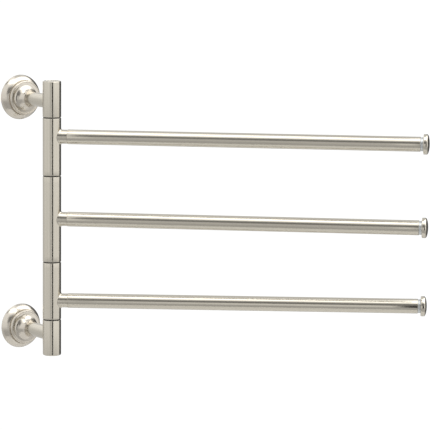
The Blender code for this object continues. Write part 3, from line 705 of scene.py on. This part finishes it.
def swivel_sleeve_mesh(low, high, collar_end, collar_radius):
    """A sleeve about Z whose outside runs through a rolled fillet into a collar about +X, as one grid.
    Heights are from the bar's axis."""
    bm = bmesh.new()
    bore = POST_RADIUS - POST_WALL
    feet, fillet_rings = rolled_fillet(collar_radius)

    # The sleeve's own grid leaves out a square in (turn, height) round the foot, and lines up with its sides.
    half_turn = max(abs(turn) for turn, _ in feet) + BLEND_TURN
    half_height = max(abs(z) for _, z in feet) + BLEND_HEIGHT
    side_count = COLLAR_COLUMNS // 4
    columns = [half_turn * (2 * step / side_count - 1) for step in range(side_count + 1)]
    rest = math.tau - 2 * half_turn
    columns += [half_turn + rest * step / SLEEVE_COLUMNS for step in range(1, SLEEVE_COLUMNS)]
    rows = [half_height * (2 * step / side_count - 1) for step in range(side_count + 1)]
    grid = {}

    def on_sleeve(turn, z, radius=POST_RADIUS):
        return bm.verts.new((radius * math.cos(turn), radius * math.sin(turn), z))

    def grid_vertex(column, z):
        key = (column % len(columns), round(z * 1e9))
        if key not in grid:
            grid[key] = on_sleeve(columns[column % len(columns)], z)
        return grid[key]

    def grid_ring(z):
        return [grid_vertex(column, z) for column in range(len(columns))]

    # From the fillet's foot out to the square.
    foot_ring = [bm.verts.new(point) for point in fillet_rings[0]]
    last = foot_ring
    for layer in range(1, BLEND_STEPS + 1):
        t = layer / BLEND_STEPS
        ring = []
        for step, (foot_turn, foot_z) in enumerate(feet):
            turn, z = square_point(step, half_turn, half_height)
            ring.append(on_sleeve(foot_turn * (1 - t) + turn * t, foot_z * (1 - t) + z * t))
        bridge(bm, last, ring)
        last = ring

    # The sleeve beside the square, and above and below it.
    for column in range(side_count, len(columns)):
        for below, above in zip(rows, rows[1:]):
            bm.faces.new((grid_vertex(column, below), grid_vertex(column + 1, below),
                          grid_vertex(column + 1, above), grid_vertex(column, above)))
    for start, stop in ((half_height, high - EDGE), (-half_height, low + EDGE)):
        heights = [start + (stop - start) * step / END_STEPS for step in range(END_STEPS + 1)]
        for one, other in zip(heights, heights[1:]):
            bridge(bm, grid_ring(one), grid_ring(other))

    # Round ends, end faces and bore, from the top down to the bottom.
    profile = arc((POST_RADIUS - EDGE, high - EDGE), (EDGE, EDGE), 0, 90, 4)
    profile += [(bore + EDGE, high), (bore, high - EDGE), (bore, low + EDGE), (bore + EDGE, low)]
    profile += arc((POST_RADIUS - EDGE, low + EDGE), (EDGE, EDGE), 270, 360, 4)
    last = grid_ring(high - EDGE)
    for radius, z in profile[1:-1]:
        ring = [on_sleeve(turn, z, radius) for turn in columns]
        bridge(bm, last, ring)
        last = ring
    bridge(bm, last, grid_ring(low + EDGE))

    # Fillet, collar, its end and the blind hole for the stud.
    last = foot_ring
    for points in fillet_rings[1:]:
        ring = [bm.verts.new(point) for point in points]
        bridge(bm, last, ring)
        last = ring
    hole_floor = bore + STUD_HOLE_FLOOR
    end_arc = arc((collar_radius - EDGE, collar_end - EDGE), (EDGE, EDGE), 0, 90, 4)
    collar = [(collar_radius, collar_end - EDGE * 4), *end_arc, (STUD_HOLE + EDGE, collar_end),
              (STUD_HOLE, collar_end - EDGE), (STUD_HOLE, hole_floor)]
    for radius, x in collar:
        turns = [math.tau * step / COLLAR_COLUMNS for step in range(COLLAR_COLUMNS)]
        ring = [bm.verts.new((x, radius * math.cos(turn), radius * math.sin(turn))) for turn in turns]
        bridge(bm, last, ring)
        last = ring
    bridge(bm, last, [bm.verts.new((hole_floor, 0, 0))])
    return bm


def add_arm_fasteners(side, pivot, place):
    """The bushes on the spindle, and the inserts and studs inside the bar."""
    upright = frame_matrix(pivot, UP)
    for end in ("bottom", "top"):
        node = f"{side}_{end}_bush"
        low, high, radius = measure(node, pivot, UP)
        bore = SPINDLE_HOLE - 0.1 * MM
        outline = rounded([(bore, low), (radius, low), (radius, high), (bore, high)], INSERT_EDGE)
        turned_piece(f"{node}_moulded", node, outline, upright, SMALL_AROUND)
    along = (place.to_3x3() @ UP).normalized()
    for kind in ("bar_stud", "finial_stud"):
        node = f"{side}_{kind}"
        low, high, radius = measure(node, pivot, along)
        outline = [
            (0, low),
            (radius - 0.5 * MM, low),
            *thread(radius, low + 0.4 * MM, high - 0.4 * MM),
            (radius - 0.5 * MM, high),
            (0, high),
        ]
        turned_piece(f"{node}_threaded", node, outline, place, SMALL_AROUND, closed=False)
    for kind, hole, depth, inward in (("bar_root_insert", STUD_HOLE, STUD_HOLE_DEPTH, 1),
                                      ("bar_end_insert", FINIAL_HOLE, FINIAL_HOLE_DEPTH, -1)):
        node = f"{side}_{kind}"
        low, high, radius = measure(node, pivot, along)
        mouth, back = (low, high) if inward > 0 else (high, low)
        outline = rounded([
            (0, back),
            (radius, back),
            (radius, mouth),
            (hole, mouth),
            (hole, mouth + inward * depth),
            (0, mouth + inward * (depth + DRILL_POINT)),
        ], INSERT_EDGE)
        turned_piece(f"{node}_turned", node, outline, place, SMALL_AROUND, closed=False)


def add_arm(side):
    pivot, along = arm_axis(side)
    low, high, _ = measure(f"{side}_swivel_sleeve", pivot, UP)
    collar_end = measure(f"{side}_swivel_sleeve", pivot, along)[1]
    _, tube_high, bar_radius = measure(f"{side}_bar_tube", pivot, along)
    turn = Matrix.Rotation(math.atan2(along.y, along.x), 4, "Z")
    bm = swivel_sleeve_mesh(low, high, collar_end, bar_radius - COLLAR_STEP)
    make_piece(f"{side}_sleeve_and_collar", f"{side}_swivel_sleeve", bm, Matrix.Translation(pivot) @ turn)

    place = frame_matrix(pivot, along)
    bore = bar_radius - BAR_WALL
    tube_low = collar_end + JOINT_GAP
    edge = 0.2 * MM
    outline = [
        (bore, tube_low),
        *arc((bar_radius - edge, tube_low + edge), (edge, edge), 270, 360, 4),
        *[(bar_radius, tube_low + (tube_high - tube_low) * step / BAR_STEPS) for step in range(1, BAR_STEPS)],
        *arc((bar_radius - edge, tube_high - edge), (edge, edge), 0, 90, 4),
        (bore, tube_high),
    ]
    turned_piece(f"{side}_bar_brushed_tube", f"{side}_bar_tube", outline, place)

    cap_low, cap_high, cap_radius = measure(f"{side}_finial_cap", pivot, along)
    radius = measure(f"{side}_finial_ring", pivot, along)[2]
    low, high = tube_high + JOINT_GAP, cap_low - JOINT_GAP
    outline = rounded([(FINIAL_HOLE, low), (radius, low), (radius, high), (FINIAL_HOLE, high)], 0.2 * MM, 4)
    turned_piece(f"{side}_finial_neck_ring", f"{side}_finial_ring", outline, place)

    rim_end = cap_high - CAP_DOME
    outline = [
        (0, cap_low + CAP_HOLE),
        (FINIAL_HOLE, cap_low + CAP_HOLE),
        (FINIAL_HOLE, cap_low),
        *arc((cap_radius - CAP_ROUND, cap_low + CAP_ROUND), (CAP_ROUND, CAP_ROUND), 270, 360, 8),
        (cap_radius, rim_end - CAP_ROUND),
        *arc((0, rim_end - CAP_ROUND), (cap_radius, CAP_DOME + CAP_ROUND), 12, 90, 24),
    ]
    turned_piece(f"{side}_finial_domed_cap", f"{side}_finial_cap", outline, place, closed=False)
    add_arm_fasteners(side, pivot, place)


# --- Stage --------------------------------------------------------------------------------------------
FLOOR_DROP = 1.1  # from the lower mount down to the floor
FLOOR_RADIUS = 1.0
FLOOR_THICKNESS = 0.01
VIEW_AZIMUTH = -35.706
VIEW_ELEVATION = 7.82
VIEW_ROLL = 0.479
VIEW_DISTANCE = 2.9072
LENS = 224.9
AIM = (0.1765, 0.1325)  # right of the post's axis as the camera sees it, and above the lower mount


def add_camera():
    """A long lens well off to the left of the rack and a little above its middle."""
    azimuth, elevation, roll = (math.radians(angle) for angle in (VIEW_AZIMUTH, VIEW_ELEVATION, VIEW_ROLL))
    back = Vector((
        math.sin(azimuth) * math.cos(elevation),
        -math.cos(azimuth) * math.cos(elevation),
        math.sin(elevation),
    ))
    right = Vector((math.cos(azimuth), math.sin(azimuth), 0))
    up = back.cross(right)
    target = POST_AXIS + right * AIM[0] + UP * AIM[1]
    rolled_right = math.cos(roll) * right + math.sin(roll) * up
    rolled_up = math.cos(roll) * up - math.sin(roll) * right
    data = bpy.data.cameras.new("camera")
    data.lens = LENS
    data.sensor_width = 36
    data.clip_end = 50
    camera = bpy.data.objects.new("camera", data)
    rotation = Matrix((rolled_right, rolled_up, back)).transposed().to_4x4()
    camera.matrix_world = Matrix.Translation(target + back * VIEW_DISTANCE) @ rotation
    bpy.context.scene.collection.objects.link(camera)
    bpy.context.scene.camera = camera


def add_floor():
    g = Graph("pale_floor")
    cloud = g.noise(3)
    colour = g.mix(g.remap(cloud, 0.0, 1.0), (0.60, 0.60, 0.595), (0.63, 0.63, 0.625))
    material = g.finish(0.0, colour, g.remap(cloud, 0.55, 0.65), g.bump(g.noise(400), 0.1, 0.0002))
    bm = lathe([(0, 0), (FLOOR_RADIUS, 0), (FLOOR_RADIUS, -FLOOR_THICKNESS), (0, -FLOOR_THICKNESS)],
               closed=False)
    floor = linked("floor", bm, Matrix.Translation((0, POST_AXIS.y, -FLOOR_DROP)))
    floor.data.materials.append(material)


# Panels of the studio, later ones over earlier ones. Azimuths are in degrees to the right of the camera and
# elevations above the level. Each window is where the panel begins, is whole, is still whole, and ends.
ANY = (-400, -399, 399, 400)
PANELS = (
    # azimuth window, elevation window, brightness
    (ANY, (-8, 4, 399, 400), 1.0),  # upper half of the room
    ((-400, -399, -168, -156), (-8, 4, 399, 400), 0.72),  # the wall's side, dimmer
    ((156, 168, 399, 400), (-8, 4, 399, 400), 0.72),
    ((-150, -138, 138, 150), (51, 65, 399, 400), 2.3),  # ceiling light
    ((10, 30, 138, 150), (26, 38, 399, 400), 2.3),  # which reaches lower on the right
    ((-128, -116, -92, -80), (42, 48, 60, 68), 0.12),  # dark stand under it, behind on the left
    ((-170, -156, -114, -98), (-60, -50, 399, 400), 0.66),  # corner behind, on the left
    ((-170, -156, -114, -98), (-6, 44, 399, 400), 1.2),  # light that fills its upper part
    ((-114, -98, -28, -6), (-20, 0, 12, 18), 0.92),  # long panel on the left
    ((-28, -14, 60, 80), (-18, -12, 7, 13), 0.57),  # unlit room round the camera
    ((-9, -5, 1, 4), (-18, -12, 8, 14), 0.90),  # bright edge beside the gap
    ((17, 22, 104, 114), (-24, -1, 12, 20), 1.08),  # panel on the right
    ((2, 4.5, 17, 20), (-30, -20, 30, 40), 0.0),  # dark gap beside the camera
    ((-32, -24, 22, 34), (8, 15, 35, 49), 0.23),  # dark strip above the camera
    ((102, 112, 168, 178), (-30, -20, 14, 22), 0.10),  # dark flag on the right
    ((122, 134, 164, 174), (-30, -20, 28, 38), 0.10),  # its taller far end
    ((-80, -60, 60, 80), (-60, -48, -22, -13), 0.50),  # room below the camera
)
BEHIND = 0.66  # the wall's side and everything else
WHITE = 1.05  # what the camera sees behind the rack


class WorldGraph:
    """Brightness of the studio as a function of direction."""

    def __init__(self):
        world = bpy.data.worlds.new("studio")
        world.use_nodes = True
        bpy.context.scene.world = world
        self.tree = world.node_tree
        self.tree.nodes.clear()
        place = self.tree.nodes.new("ShaderNodeTexCoord")
        split = self.tree.nodes.new("ShaderNodeSeparateXYZ")
        self.tree.links.new(place.outputs["Generated"], split.inputs["Vector"])
        x, y, z = (split.outputs[axis] for axis in "XYZ")
        turn = self.math("MULTIPLY", self.math("ARCTAN2", x, self.math("MULTIPLY", y, -1.0)), 180 / math.pi)
        turn = self.math("FLOORED_MODULO", self.math("ADD", turn, 180.0 - VIEW_AZIMUTH), 360.0)
        self.azimuth = self.math("SUBTRACT", turn, 180.0)
        self.elevation = self.math("MULTIPLY", self.math("ARCSINE", z), 180 / math.pi)

    def math(self, operation, *values):
        node = self.tree.nodes.new("ShaderNodeMath")
        node.operation = operation
        for index, value in enumerate(values):
            if isinstance(value, (int, float)):
                node.inputs[index].default_value = value
            else:
                self.tree.links.new(value, node.inputs[index])
        return node.outputs["Value"]

    def ramp(self, value, start, stop, low, high):
        node = self.tree.nodes.new("ShaderNodeMapRange")
        node.interpolation_type = "SMOOTHSTEP"
        for key, setting in (("From Min", start), ("From Max", stop), ("To Min", low), ("To Max", high)):
            node.inputs[key].default_value = setting
        self.tree.links.new(value, node.inputs["Value"])
        return node.outputs["Result"]

    def window(self, value, begin, whole, still, end):
        return self.math("MULTIPLY", self.ramp(value, begin, whole, 0, 1), self.ramp(value, still, end, 1, 0))

    def panel(self, below, azimuths, elevations, brightness):
        across = self.window(self.azimuth, *azimuths)
        upward = self.window(self.elevation, *elevations)
        cover = self.math("MULTIPLY", across, upward)
        kept = self.math("MULTIPLY", self.math("SUBTRACT", 1.0, cover), below)
        return self.math("ADD", kept, self.math("MULTIPLY", cover, brightness))

    def light(self, strength):
        node = self.tree.nodes.new("ShaderNodeBackground")
        node.inputs["Color"].default_value = (1, 1, 1, 1)
        if isinstance(strength, float):
            node.inputs["Strength"].default_value = strength
        else:
            self.tree.links.new(strength, node.inputs["Strength"])
        return node.outputs["Background"]


def add_world():
    w = WorldGraph()
    level = BEHIND
    for azimuths, elevations, brightness in PANELS:
        level = w.panel(level, azimuths, elevations, brightness)
    seen = w.tree.nodes.new("ShaderNodeLightPath")
    mix = w.tree.nodes.new("ShaderNodeMixShader")
    w.tree.links.new(seen.outputs["Is Camera Ray"], mix.inputs["Fac"])
    w.tree.links.new(w.light(level), mix.inputs[1])
    w.tree.links.new(w.light(WHITE), mix.inputs[2])
    output = w.tree.nodes.new("ShaderNodeOutputWorld")
    w.tree.links.new(mix.outputs["Shader"], output.inputs["Surface"])


def main():
    add_camera()
    add_world()
    add_floor()
    for end in ENDS:
        place = frame_matrix(MOUNTS[end], OFF_WALL)
        screw_place = frame_matrix(MOUNTS[end] + OFF_WALL * SET_SCREW_HEIGHT, -UP)
        add_flange(end, place, screw_place)
        add_bracket(end, place)
        add_standoff(end, place)
        add_standoff_bolt(end, place)
        add_post_end(end)
        add_plug_and_nut(end)
    add_spindle_and_washers()
    for side in SIDES:
        add_arm(side)
    bpy.context.scene.view_settings.view_transform = "Standard"


main()
